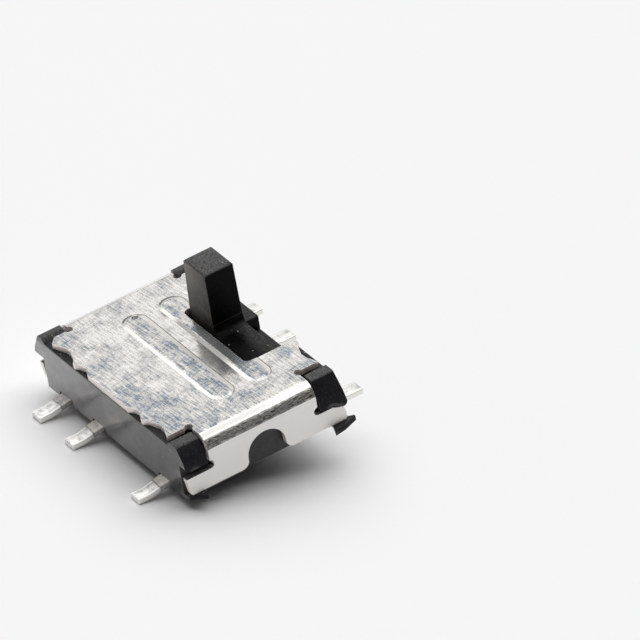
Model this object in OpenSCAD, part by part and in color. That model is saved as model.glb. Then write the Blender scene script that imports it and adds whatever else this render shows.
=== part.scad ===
// Miniature surface-mount slide switch, two poles, two positions.
// +X runs along the slide towards the end with one pin a side, +Y towards the lever side, +Z up.
// The origin is on the housing's underside, midway between the two locating pegs.

/* [Housing] */
// Length of the housing along the slide
body_l = 6.2; // [5:0.1:8]
// Width of the housing across the slide
body_w = 4.5; // [4.1:0.1:6]
// Height of the walls above the underside
wall_h = 1.35; // [1.1:0.05:1.8]
// Thickness of the floor that holds the terminals
floor_t = 0.45; // [0.4:0.05:0.6]
// Thickness of the two long walls
side_wall = 0.33; // [0.25:0.01:0.4]
// Thickness of the two end walls
end_wall = 0.26; // [0.2:0.01:0.35]
// Depth of the cut in the lever-side wall, below the wall's top
gate_depth = 0.45; // [0.4:0.05:0.5]

/* [Corner ears] */
// Width of each ear, in from the housing's side
ear_w = 0.63; // [0.5:0.01:0.75]
// Length of the ear's flat top
ear_top_l = 0.32; // [0.3:0.01:0.45]
// Length of the flat top of the ears at the end with two pins a side
far_ear_top_l = 0.2; // [0.15:0.01:0.3]
// How much further those two ears stand out
far_ear_out = 0.13; // [0:0.01:0.15]
// How far the near lever-side ear leans out past the housing's side
ear_lean = 0.1; // [0.02:0.01:0.12]
// How far the ear's lower edge stands out past the end wall
ear_reach = 0.3; // [0.26:0.01:0.4]
// Height of the ear's top above the wall
ear_rise = 0.12; // [0.08:0.01:0.14]
// Height of the lower edge of the ears
ear_foot_z = 0.76; // [0.7:0.01:0.85]
// Height of the lower edge of the ear beside the single pin on the side away from the lever
near_ear_foot_z = 0.86; // [0.76:0.01:0.9]
// Height of the lower edge of the ear beside the single pin on the lever's side
lever_ear_foot_z = 0.7; // [0.7:0.01:0.8]
// How far the outer lower corner of that ear hangs below its lower edge
lever_ear_droop = 0.13; // [0.02:0.01:0.13]

/* [Locating pegs] */
// Diameter of a peg
peg_d = 0.75; // [0.5:0.05:0.9]
// Length of a peg below the underside
peg_l = 0.68; // [0.4:0.02:1]
// Length of the peg's tapered tip
peg_tip_l = 0.13; // [0.05:0.01:0.2]
// Distance between the two pegs
peg_spacing = 3; // [2.8:0.1:3.4]

/* [Underside] */
// Side of a square core-pin hole
core_hole = 0.57; // [0.4:0.01:0.6]
// Distance from the centre to the inner holes
core_in = 0.85; // [0.8:0.01:0.95]
// Distance from the centre to the outer holes
core_out = 2.27; // [2:0.01:2.3]
// Length of the moulding-gate pocket
gate_pocket_l = 0.95; // [0.7:0.05:1]
// Width of the moulding-gate pocket
gate_pocket_w = 0.75; // [0.5:0.05:0.8]
// Thickness of the corner toes below the cover's flap
toe_t = 0.13; // [0.08:0.01:0.14]
// How far the toes reach past the end wall
toe_reach = 0.45; // [0.36:0.01:0.5]
// How far the lever-side toe stands out past the housing's side
toe_overhang = 0.25; // [0:0.01:0.3]

/* [Cover] */
// Thickness of the sheet
sheet = 0.15; // [0.1:0.01:0.2]
// Outer radius of the two bends
bend_r = 0.38; // [0.3:0.01:0.4]
// Gap between the end wall and the flap
flap_gap = 0.09; // [0.05:0.01:0.1]
// Height of the flap's lower edge above the underside
flap_z = 0.15; // [0.14:0.01:0.2]
// Height of the top of the flap's wings above the underside
wing_z = 0.64; // [0.6:0.01:0.64]
// How far the flap's lever-side wings stand out past the sheet's long edge
wing_out = 0.06; // [0.02:0.01:0.07]
// Half width of the arch in the flap
arch_r = 0.54; // [0.4:0.01:0.6]
// Height of the arch's crown above the underside
arch_z = 0.94; // [0.8:0.01:0.96]
// Place of the arch across the cover
arch_y = 0.03; // [-0.1:0.01:0.1]
// Radius of the arch's flared feet
arch_foot_r = 0.2; // [0.1:0.01:0.25]
// Height of the two stiffening beads above the sheet
bead_h = 0.02; // [0.02:0.01:0.06]
// Width of a bead at its foot
bead_w = 0.7; // [0.5:0.01:0.75]
// Width of a bead's sloping flank
bead_flank = 0.13; // [0.1:0.01:0.15]
// Distance from a bead's end to the housing's end
bead_end = 0.84; // [0.7:0.01:1]
// Place of the inner bead across the cover
bead_y = -0.22; // [-0.4:0.01:0]
// Distance between the two beads
bead_pitch = 1.06; // [1:0.01:1.1]

/* [Slider] */
// Width of the lever's outward block, along the slide
lever_w = 0.9; // [0.7:0.05:1]
// How much wider the lever is than the block, at the end with two pins a side
lever_tail = 0.18; // [0.05:0.01:0.2]
// Depth of the lever at its foot, across the slide
lever_d = 0.85; // [0.7:0.01:0.9]
// Height of the lever above the cover
lever_h = 1.55; // [0.8:0.05:2]
// Narrowing of each lever face from foot to top, along the slide
lever_draft = 0.06; // [0:0.01:0.1]
// Radius of the fillets at the lever's foot
lever_fillet = 0.3; // [0.1:0.01:0.32]
// Chamfer round the lever's top
lever_chamfer = 0.03; // [0.02:0.01:0.06]
// Clearance between the slider and each cavity wall
slide_gap = 0.05; // [0.03:0.01:0.08]
// Clearance between the slider and the cover
top_gap = 0.04; // [0.02:0.01:0.06]

/* [Contacts] */
// Distance between neighbouring contact pads, which is also the lever's travel
contact_pitch = 1.5; // [1.2:0.05:1.8]
// Length of a contact pad along the slide
pad_l = 1.1; // [0.8:0.05:1.1]
// Width of a contact pad across the slide
pad_w = 0.8; // [0.6:0.05:0.9]
// Place of the contact row on the side away from the lever
row_left = -0.61; // [-0.7:0.01:-0.5]
// Place of the contact row on the lever side
row_right = 1.07; // [0.95:0.01:1.15]
// Height of a formed contact clip
clip_h = 0.5; // [0.4:0.01:0.5]
// Thickness of a contact clip
clip_t = 0.08; // [0.05:0.01:0.1]
// Width of a contact clip
clip_w = 0.5; // [0.4:0.05:0.6]

/* [Terminals] */
// Width of a terminal pin
pin_w = 0.4; // [0.3:0.01:0.5]
// Thickness of the terminal sheet
pin_t = 0.15; // [0.1:0.01:0.2]
// How far a pin stands out from the housing's side
pin_reach = 0.9; // [0.6:0.05:1.2]
// How much further the lever-side pins stand out
pin_extra = 0.14; // [0:0.01:0.2]
// How far a pin's foot drops below the underside
foot_drop = 0.1; // [0:0.01:0.15]

/* [Hidden] */
$fn = 48;
eps = 0.01;

half_l = body_l / 2;
half_w = body_w / 2;
cavity_x = half_l - end_wall;
cavity_y = half_w - side_wall;

// Travel: the clips bridge pads one and two, or two and three
travel = contact_pitch;
slider_x = -travel / 2;
stop_gap = 0.04;
plate_x = cavity_x - travel / 2 - stop_gap;
plate_y = cavity_y - slide_gap;
plate_top = wall_h - top_gap;
floor_gap = 0.08;
plate_bottom = floor_t + floor_gap;

// Lever, from its place at the plate's outer edge
lever_inset = 0.02;
lever_out = plate_y - lever_inset;
lever_in = lever_out - lever_d;
lever_lean = 0.04;
lever_top = wall_h + sheet + lever_h;
// The block that runs in the cut of the lever-side wall
block_drop = 0.01;
block_gap = 0.02;
gate_end_gap = 0.15;
rim_z = wall_h - gate_depth;
gate_x = travel / 2 + lever_w / 2 + gate_end_gap;

// Window of the cover
window_side_gap = 0.16;
window_end_gap = 0.2;
window_tail_gap = 0.09;
window_r = 0.15;
window_x = travel / 2 + lever_w / 2 + window_end_gap;
window_far_x = -travel / 2 - lever_w / 2 - lever_tail - window_tail_gap;
tail_fillet = 0.08;
window_y = lever_in - window_side_gap;

// Outline of the cover, measured from the corner ears
cover_inset = 0.01;
cover_edge = half_w - cover_inset;
flap_in = half_l + flap_gap;
flap_out = flap_in + sheet;
end_chamfer = 0.15;
ear_back_slope = 0.13;
ear_brow = 0.035;
ear_gap_x = 0.08;
ear_gap_y = 0.08;
ear_notch_x = half_l - ear_top_l - ear_back_slope - ear_gap_x;
far_ear_notch_x = half_l + far_ear_out - far_ear_top_l - ear_back_slope - ear_gap_x;
ear_in = half_w - ear_w;
ear_notch_y = ear_in - ear_gap_y;
relief_r = 0.11;

// Pins stand at half pitches outside their pads
pin_x = [-1.5 * contact_pitch, -0.5 * contact_pitch, 1.5 * contact_pitch];
pad_x = [-contact_pitch, 0, contact_pitch];
riser_gap = 0.02;
pin_notch_gap = 0.1;

// Clip: two bumps one pitch apart, pressed down from a flat middle
clip_lift = 0.01;
bump_x = contact_pitch / 2;
clip_tail = 0.45;
clip_x = bump_x + clip_tail;
pocket_gap = 0.05;
clip_top = floor_t + clip_lift + clip_h;

function mirrored(points) = [for (p = points) [-p[0], p[1]]];

// Draws its children on both sides of the slide's axis or both ends of the housing
module both(axis) {
    children();
    mirror(axis) children();
}

// Extrudes a profile drawn in X and Z from y0 to y1
module along_y(y0, y1) {
    translate([0, y1, 0]) rotate([90, 0, 0]) linear_extrude(y1 - y0) children();
}

// Extrudes a profile drawn in Y and Z from x0 to x1
module along_x(x0, x1) {
    translate([x0, 0, 0]) rotate([90, 0, 90]) linear_extrude(x1 - x0) children();
}

// A block given by its low and high corners
module block(low, high) {
    translate(low) cube(high - low);
}

module rounded_rect(l, w, r) {
    square([l - 2 * r, w], center = true);
    square([l, w - 2 * r], center = true);
    for (sx = [-1, 1], sy = [-1, 1])
        translate([sx * (l / 2 - r), sy * (w / 2 - r)]) circle(r);
}

// ---- Housing ----

// Ramp-faced ear that the flap's wing snaps under, moved out and leaning over the side as asked;
// foot_z is its lower edge, whose outer corner hangs lower by droop
module ear(out, top_l, lean, foot_z, droop) {
    base_z = wall_h - 0.05;
    top_x = half_l + out;
    top_z = wall_h + ear_rise;
    back_x = top_x - top_l - ear_back_slope;
    foot_x = half_l + ear_reach + out;
    side_y = half_w + lean;
    low_z = foot_z - droop;
    intersection() {
        along_y(ear_in, side_y) polygon([
            [back_x, base_z],
            [back_x, wall_h],
            [top_x - top_l, top_z],
            [top_x - ear_brow, top_z],
            [top_x, top_z - 0.8 * ear_brow],
            [foot_x - 0.08, foot_z + 0.27],
            [foot_x, low_z],
            [half_l - 0.1, low_z]
        ]);
        along_x(back_x - 1, foot_x + 1) polygon([
            [ear_in - 1, foot_z],
            [side_y - 0.42, foot_z],
            [side_y - 0.13, low_z],
            [side_y - 0.04, low_z + 0.03],
            [side_y, low_z + 0.1],
            [half_w, top_z],
            [half_w, wall_h + 1],
            [ear_in - 1, wall_h + 1]
        ]);
    }
}

// The four walls and floor as one body, with its top end corners taken off under the bends
module walls() {
    along_y(-half_w, half_w) polygon([
        [-half_l, 0],
        [half_l, 0],
        [half_l, wall_h - end_chamfer],
        [half_l - end_chamfer, wall_h],
        [end_chamfer - half_l, wall_h],
        [-half_l, wall_h - end_chamfer]
    ]);
}

// Chamfered toe below the flap, beside the single pin on the side away from the lever
module toe() {
    width = 0.45;
    root_x = half_l - 0.1;
    linear_extrude(toe_t) polygon([
        [root_x, half_w],
        [half_l + 0.08, half_w],
        [half_l + 0.17, half_w - 0.04],
        [half_l + toe_reach, half_w - width + 0.05],
        [half_l + toe_reach - 0.05, half_w - width],
        [root_x, half_w - width]
    ]);
}

// Its fellow on the lever's side, which flares to a point and stands out past the side
module flared_toe() {
    width = 0.46;
    root_x = half_l - 0.1;
    side_y = half_w + toe_overhang;
    linear_extrude(toe_t) polygon([
        [root_x, half_w],
        [half_l + 0.15, half_w + toe_overhang / 2],
        [half_l + 0.2, side_y],
        [half_l + 0.26, side_y],
        [half_l + toe_reach - 0.03, half_w - 0.16],
        [half_l + toe_reach + 0.02, half_w - width],
        [half_l + toe_reach - 0.15, half_w - width + 0.06],
        [half_l + 0.12, half_w - width + 0.12],
        [root_x, half_w - width + 0.13]
    ]);
}

module peg() {
    taper = 0.1;
    tip_r = peg_d / 2 - taper;
    straight = peg_l - peg_tip_l;
    translate([0, 0, -straight]) cylinder(h = straight + floor_t / 4, d = peg_d);
    translate([0, 0, -peg_l]) cylinder(h = peg_tip_l, r1 = tip_r, r2 = peg_d / 2);
}

// Shallow pocket round the moulding gate, with the gate's ring in it
module gate_pocket() {
    centre = [0.02, 0.22, -eps];
    depth = 0.05;
    corner_r = 0.12;
    ring = [-0.02, -0.06, 0.02 + eps];
    ring_d = 0.39;
    ring_bore = 0.22;
    translate(centre) difference() {
        linear_extrude(depth + eps) rounded_rect(gate_pocket_l, gate_pocket_w, corner_r);
        translate(ring) difference() {
            cylinder(h = depth, d = ring_d);
            translate([0, 0, -eps]) cylinder(h = depth + 2 * eps, d = ring_bore);
        }
    }
}

module housing() {
    color([0.06, 0.06, 0.065]) difference() {
        union() {
            walls();
            ear(0, ear_top_l, ear_lean, lever_ear_foot_z, lever_ear_droop);
            mirror([0, 1, 0]) ear(0, ear_top_l, 0, near_ear_foot_z, 0);
            both([0, 1, 0]) mirror([1, 0, 0]) ear(far_ear_out, far_ear_top_l, 0, ear_foot_z, 0);
            flared_toe();
            mirror([0, 1, 0]) toe();
            for (x = [-1, 1]) translate([x * peg_spacing / 2, 0, 0]) peg();
        }
        block([-cavity_x, -cavity_y, floor_t], [cavity_x, cavity_y, wall_h]);
        block([-gate_x, cavity_y - eps, rim_z], [gate_x, half_w + eps, wall_h + 1]);
        for (x = [-core_out, -core_in, core_in, core_out], y = [row_left, row_right])
            translate([x - core_hole / 2, y - core_hole / 2, -eps])
                cube([core_hole, core_hole, floor_t - pin_t + eps]);
        gate_pocket();
        for (side = [-1, 1], i = [0:2]) {
            terminal(side, i);
            pin_notch(side, i);
        }
    }
}

// ---- Terminals ----

// Row that a side's pads lie on, as a distance from the slide's axis
function row_y(side) = side < 0 ? -row_left : row_right;

// Clearance round a pin where it leaves the wall
module pin_notch(side, i) {
    w = pin_w + 2 * pin_notch_gap;
    depth = side_wall - 0.03;
    on_side(side) translate([pin_x[i] - w / 2, half_w - depth, -eps])
        cube([w, depth + eps, pin_t + eps]);
}

// Mirrors what is drawn at +Y to the side away from the lever when side is negative
module on_side(side) {
    if (side < 0) mirror([0, 1, 0]) children();
    else children();
}

// Pad and arm in the floor, riser down to the underside, and the pin sloping down to its flat foot
module terminal(side, i) {
    riser_y = cavity_y - riser_gap;
    pad_out = row_y(side) + pad_w / 2;
    pad_z = floor_t - pin_t;
    tip_y = half_w + pin_reach + (side > 0 ? pin_extra : 0);
    bend_y = half_w + 0.06;
    foot_y = tip_y - 0.35;
    on_side(side) {
        translate([0, 0, pad_z]) linear_extrude(pin_t) {
            translate([pad_x[i], row_y(side)]) square([pad_l, pad_w], center = true);
            polygon([
                [pad_x[i] - pin_w / 2, pad_out - eps],
                [pad_x[i] + pin_w / 2, pad_out - eps],
                [pin_x[i] + pin_w / 2, riser_y],
                [pin_x[i] + pin_w / 2, riser_y + pin_t],
                [pin_x[i] - pin_w / 2, riser_y + pin_t],
                [pin_x[i] - pin_w / 2, riser_y]
            ]);
        }
        along_x(pin_x[i] - pin_w / 2, pin_x[i] + pin_w / 2) polygon([
            [riser_y, floor_t],
            [riser_y, 0],
            [bend_y, 0],
            [foot_y, -foot_drop],
            [tip_y, -foot_drop],
            [tip_y, pin_t - foot_drop],
            [foot_y, pin_t - foot_drop],
            [bend_y, pin_t],
            [riser_y + pin_t, pin_t],
            [riser_y + pin_t, floor_t]
        ]);
    }
}

module terminal_piece(side, i) {
    color([0.8, 0.79, 0.76]) terminal(side, i);
}

// ---- Cover ----

// One bent strip, as a solid from the outer face or the inner face
module cover_profile(half, top, r) {
    translate([-half, flap_z - 1]) square([2 * half, top - r - flap_z + 1]);
    translate([-half + r, flap_z]) square([2 * (half - r), top - flap_z]);
    for (s = [-1, 1]) translate([s * (half - r), top - r]) circle(r);
}

module bent_sheet() {
    along_y(-cover_edge, cover_edge + wing_out) difference() {
        intersection() {
            cover_profile(flap_out, wall_h + sheet, bend_r);
            translate([-flap_out, flap_z]) square([2 * flap_out, 2 * wall_h]);
        }
        cover_profile(flap_in, wall_h, bend_r - sheet);
    }
}

// Raised bead with sloping flanks and round ends; lowered by the sheet it is its own underside
module bead(y, z) {
    r_foot = bead_w / 2;
    r_top = r_foot - bead_flank;
    end_x = half_l - bead_end - r_foot;
    translate([0, y, z]) {
        along_x(-end_x, end_x)
            polygon([[-r_foot, 0], [r_foot, 0], [r_top, bead_h], [-r_top, bead_h]]);
        for (s = [-1, 1]) translate([s * end_x, 0, 0]) cylinder(h = bead_h, r1 = r_foot, r2 = r_top);
    }
}

module beads(z) {
    bead(bead_y, z);
    bead(bead_y + bead_pitch, z);
}

// Small round punch mark in the top of the bead away from the lever, near its far end
module punch_mark() {
    mark_r = 0.09;
    depth = 0.05;
    ball_r = (mark_r * mark_r + depth * depth) / (2 * depth);
    from_end = 0.17;
    aside = 0.09;
    translate([bead_end + from_end - half_l, bead_y + aside, wall_h + sheet + bead_h - depth + ball_r])
        sphere(ball_r);
}

// Cut that lets a corner ear through and leaves the flap's wing below it
module ear_cut(notch_x) {
    block([notch_x, ear_notch_y, wing_z], [flap_out + 1, half_w + 1, wall_h + 1]);
    along_x(half_l, flap_out + 1) translate([ear_notch_y, wing_z + relief_r]) circle(relief_r);
    translate([notch_x + 0.03, ear_notch_y + 0.03, wall_h - 0.1]) cylinder(h = 1, r = relief_r);
}

// The outer end of a wing away from the lever leans in towards its lower corner
module wing_end() {
    edge = cover_edge;
    along_x(half_l, flap_out + 1) polygon([
        [half_w + 1, flap_z - 1],
        [edge - 0.16, flap_z - 1],
        [edge - 0.11, flap_z],
        [edge - 0.06, flap_z + 0.05],
        [edge, wing_z - 0.05],
        [half_w + 1, wing_z - 0.05]
    ]);
}

// The outer end of a wing on the lever's side, with its corners rounded off, the upper one the more
module round_wing_end() {
    edge = cover_edge + wing_out;
    along_x(half_l, flap_out + 1) polygon([
        [half_w + 1, flap_z - 1],
        [edge - 0.07, flap_z - 1],
        [edge - 0.05, flap_z],
        [edge - 0.01, flap_z + 0.05],
        [edge - 0.01, flap_z + 0.18],
        [edge - 0.05, wing_z - 0.15],
        [edge - 0.11, wing_z - 0.1],
        [edge - 0.34, wing_z - 0.01],
        [edge - 0.34, wing_z + 0.01],
        [half_w + 1, wing_z + 0.01]
    ]);
}

// Slanted cut of the sheet's corner beside an ear at the end with two pins a side
module far_corner() {
    translate([0, cover_edge, wall_h - 0.1]) linear_extrude(1) polygon([
        [-far_ear_notch_x - 0.1, 0.1],
        [-far_ear_notch_x - 0.1, -0.26],
        [-far_ear_notch_x, -0.24],
        [-ear_notch_x - 0.06, -0.06],
        [-ear_notch_x - 0.06, 0.1]
    ]);
}

// Arch in the flap, with flared feet
module arch() {
    centre_z = arch_z - arch_r;
    foot_x = arch_r + arch_foot_r;
    foot_z = flap_z + arch_foot_r;
    along_x(half_l, flap_out + 1) translate([arch_y, 0]) {
        translate([0, centre_z]) circle(arch_r);
        translate([-arch_r, flap_z - 1]) square([2 * arch_r, 1 + centre_z - flap_z]);
        difference() {
            translate([-foot_x, flap_z - 1]) square([2 * foot_x, 1 + arch_foot_r]);
            for (s = [-1, 1]) translate([s * foot_x, foot_z]) circle(arch_foot_r);
        }
    }
}

// Two sheared dips in the long edge beside each ear
module edge_dips() {
    tab_x = ear_notch_x + 0.06;
    deep_l = 1.05;
    shallow_l = 0.59;
    land = 0.08;
    out = 0.1;
    translate([tab_x, cover_edge, wall_h - out]) linear_extrude(1) {
        polygon([
            [0, out], [0, -0.06], [-0.4, -0.2], [-0.6, -0.21],
            [0.12 - deep_l, -0.1], [-deep_l, 0], [-deep_l, out]
        ]);
        translate([-deep_l - land, 0]) polygon([
            [0, out], [0, 0], [-0.12, -0.08], [-0.3, -0.13],
            [0.15 - shallow_l, -0.1], [-shallow_l, 0], [-shallow_l, out]
        ]);
    }
}

// Window that the lever runs in, open through the lever-side edge
module window() {
    reach = half_w + 1 - window_y;
    translate([(window_x + window_far_x) / 2, window_y + reach / 2 + window_r / 2, wall_h - 0.1]) linear_extrude(1)
        rounded_rect(window_x - window_far_x, reach + window_r, window_r);
}

module cover() {
    color([0.78, 0.78, 0.76]) difference() {
        union() {
            bent_sheet();
            beads(wall_h + sheet);
        }
        beads(wall_h);
        punch_mark();
        window();
        block([-flap_out - 1, cover_edge, wing_z], [flap_out + 1, half_w + 1, wall_h + 1]);
        both([1, 0, 0]) {
            both([0, 1, 0]) edge_dips();
            round_wing_end();
            mirror([0, 1, 0]) wing_end();
            arch();
        }
        both([0, 1, 0]) {
            ear_cut(ear_notch_x);
            mirror([1, 0, 0]) ear_cut(far_ear_notch_x);
            far_corner();
        }
    }
}

// ---- Slider ----

// Lever seen from the side: drafted faces, chamfered top, round fillets at the foot
module lever_side() {
    foot = lever_w / 2;
    back = -foot - lever_tail;
    top = foot - lever_draft;
    back_top = back + lever_draft;
    r = lever_fillet;
    difference() {
        union() {
            polygon([
                [back, plate_top - 0.1],
                [foot, plate_top - 0.1],
                [top, lever_top - lever_chamfer],
                [top - lever_chamfer, lever_top],
                [back_top + lever_chamfer, lever_top],
                [back_top, lever_top - lever_chamfer]
            ]);
            translate([0, plate_top - 0.1]) square([foot + r, r + 0.1]);
            translate([back - tail_fillet, plate_top - 0.1]) square([foot, tail_fillet + 0.1]);
        }
        translate([foot + r, plate_top + r]) circle(r);
        translate([back - tail_fillet, plate_top + tail_fillet]) circle(tail_fillet);
    }
}

// Lever seen from the end: the inner face leans, the outer face is upright
module lever_end() {
    lean_top = lever_in + lever_lean;
    polygon([
        [lever_in, plate_top - 0.1],
        [lever_out, plate_top - 0.1],
        [lever_out, lever_top - lever_chamfer],
        [lever_out - lever_chamfer, lever_top],
        [lean_top + 1.5 * lever_chamfer, lever_top],
        [lean_top, lever_top - 1.5 * lever_chamfer]
    ]);
}

// Pocket under the plate that carries a contact clip
module clip_pocket(y) {
    px = clip_x + pocket_gap;
    py = clip_w / 2 + pocket_gap;
    block([-px, y - py, plate_bottom - eps], [px, y + py, clip_top]);
}

module slider() {
    color([0.07, 0.07, 0.075]) translate([slider_x, 0, 0]) difference() {
        union() {
            block([-plate_x, -plate_y, plate_bottom], [plate_x, plate_y, plate_top]);
            block([-lever_w / 2, plate_y - eps, rim_z + block_gap],
                [lever_w / 2, half_w, plate_top - block_drop]);
            intersection() {
                along_y(lever_in - 1, lever_out + 1) lever_side();
                along_x(-2 * lever_w, 2 * lever_w) lever_end();
            }
        }
        clip_pocket(row_left);
        clip_pocket(row_right);
    }
}

// Formed strip: turned-up tips, two bumps on the pads, flat middle against the slider
module contact_clip(y) {
    low = clip_top - clip_h;
    high = clip_top - clip_t;
    line = [
        [-clip_x, low + 0.2],
        [-bump_x - 0.12, low + 0.02],
        [-bump_x, low],
        [-bump_x + 0.12, low + 0.02],
        [-0.3, high],
        [0, high]
    ];
    half = concat(line, [for (i = [4:-1:0]) mirrored(line)[i]]);
    upper = [for (i = [len(half) - 1:-1:0]) half[i] + [0, clip_t]];
    color([0.72, 0.5, 0.2]) translate([slider_x, 0, 0])
        along_y(y - clip_w / 2, y + clip_w / 2) polygon(concat(half, upper));
}

housing();
cover();
slider();
contact_clip(row_left);  // contact_clip_left
contact_clip(row_right);  // contact_clip_right
for (i = [0:2]) {
    terminal_piece(-1, i);
    terminal_piece(1, i);
}
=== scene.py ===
"""Slide switch with a bent sheet-metal cover, dressed for display on its CAD frame.

The moulded base, the sheet cover, the slider, its contact clips and the six terminals each take
their shape from the CAD node of the same name, with the sharp corners eased, and get a procedural
finish of their own. Finishes are read in millimetres; pieces and the studio are in metres.
"""

import logging
import math
from dataclasses import dataclass, field
from enum import Enum
from functools import cached_property, reduce
from typing import NamedTuple, Union

import bmesh
import bpy
from mathutils import Matrix, Vector


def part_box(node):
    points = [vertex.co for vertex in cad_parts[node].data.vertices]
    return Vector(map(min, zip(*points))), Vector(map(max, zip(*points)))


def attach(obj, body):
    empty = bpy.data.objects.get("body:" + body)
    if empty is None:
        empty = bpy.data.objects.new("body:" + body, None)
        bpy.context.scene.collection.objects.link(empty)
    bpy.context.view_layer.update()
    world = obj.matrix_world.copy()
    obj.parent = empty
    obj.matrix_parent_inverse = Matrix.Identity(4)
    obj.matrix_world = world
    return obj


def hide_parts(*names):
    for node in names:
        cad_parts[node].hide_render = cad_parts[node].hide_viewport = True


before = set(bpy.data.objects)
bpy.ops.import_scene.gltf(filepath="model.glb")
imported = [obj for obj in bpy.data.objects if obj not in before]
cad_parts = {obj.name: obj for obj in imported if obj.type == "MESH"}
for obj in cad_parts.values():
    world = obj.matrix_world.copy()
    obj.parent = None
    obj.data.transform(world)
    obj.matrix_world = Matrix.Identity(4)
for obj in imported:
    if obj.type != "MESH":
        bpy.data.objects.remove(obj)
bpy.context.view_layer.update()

MM = 0.001
LOG = logging.getLogger("slide_switch")

Colour = tuple[float, float, float]
Triple = tuple[float, float, float]
Socket = bpy.types.NodeSocket
Sockets = bpy.types.NodeOutputs
Tree = bpy.types.NodeTree
Material = bpy.types.Material
Piece = bpy.types.Object
Form = bmesh.types.BMesh
Value = Union[Socket, float]
Feed = Union[Socket, float, tuple]

NONE: Triple = (0.0, 0.0, 0.0)
FULL: Triple = (1.0, 1.0, 1.0)


class Body(Enum):
    """The rigid bodies that pieces ride on."""

    BASE = "base"
    SLIDER = "slider"


class Slot(Enum):
    """The record's material slots."""

    HOUSING = "black_housing"
    SLIDER = "black_slider"
    SHEET = "tinned_sheet"
    TERMINAL = "tinned_terminal"
    CONTACT = "contact_alloy"


class SheetFace(Enum):
    """The cover's finishes, by their place in its material list."""

    TIN = 0
    CUT = 1


class Gauge(Enum):
    """What a zone reads: a coordinate, or how far the surface faces along an axis.

    Each value says whether the normal is read, on which axis, and whether its sign is dropped.
    """

    X = (False, 0, False)
    Y = (False, 1, False)
    Z = (False, 2, False)
    OUTWARD = (False, 1, True)
    FACING_X = (True, 0, False)
    FACING_Y = (True, 1, False)
    FACING_Z = (True, 2, False)
    END_ON = (True, 0, True)
    SIDE_ON = (True, 1, True)


class Step(NamedTuple):
    """A smooth step: the readings it starts and ends at, and what it gives before and after."""

    low: float
    high: float
    before: float = 0.0
    after: float = 1.0


class Cloud(NamedTuple):
    """A noise, and the step that makes a mask of it."""

    scale: float
    detail: float
    rough: float
    step: Step


class Streaks(NamedTuple):
    """A run of hairlines: fineness, length over width, how much they cover, angles and start."""

    scale: float
    length: float
    share: float
    turn: Triple = NONE
    shift: Triple = NONE


Zone = tuple[tuple[Gauge, Step], ...]

SIDES = (Gauge.SIDE_ON, Step(0.6, 0.9))


# ---------------- shader nodes


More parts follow.
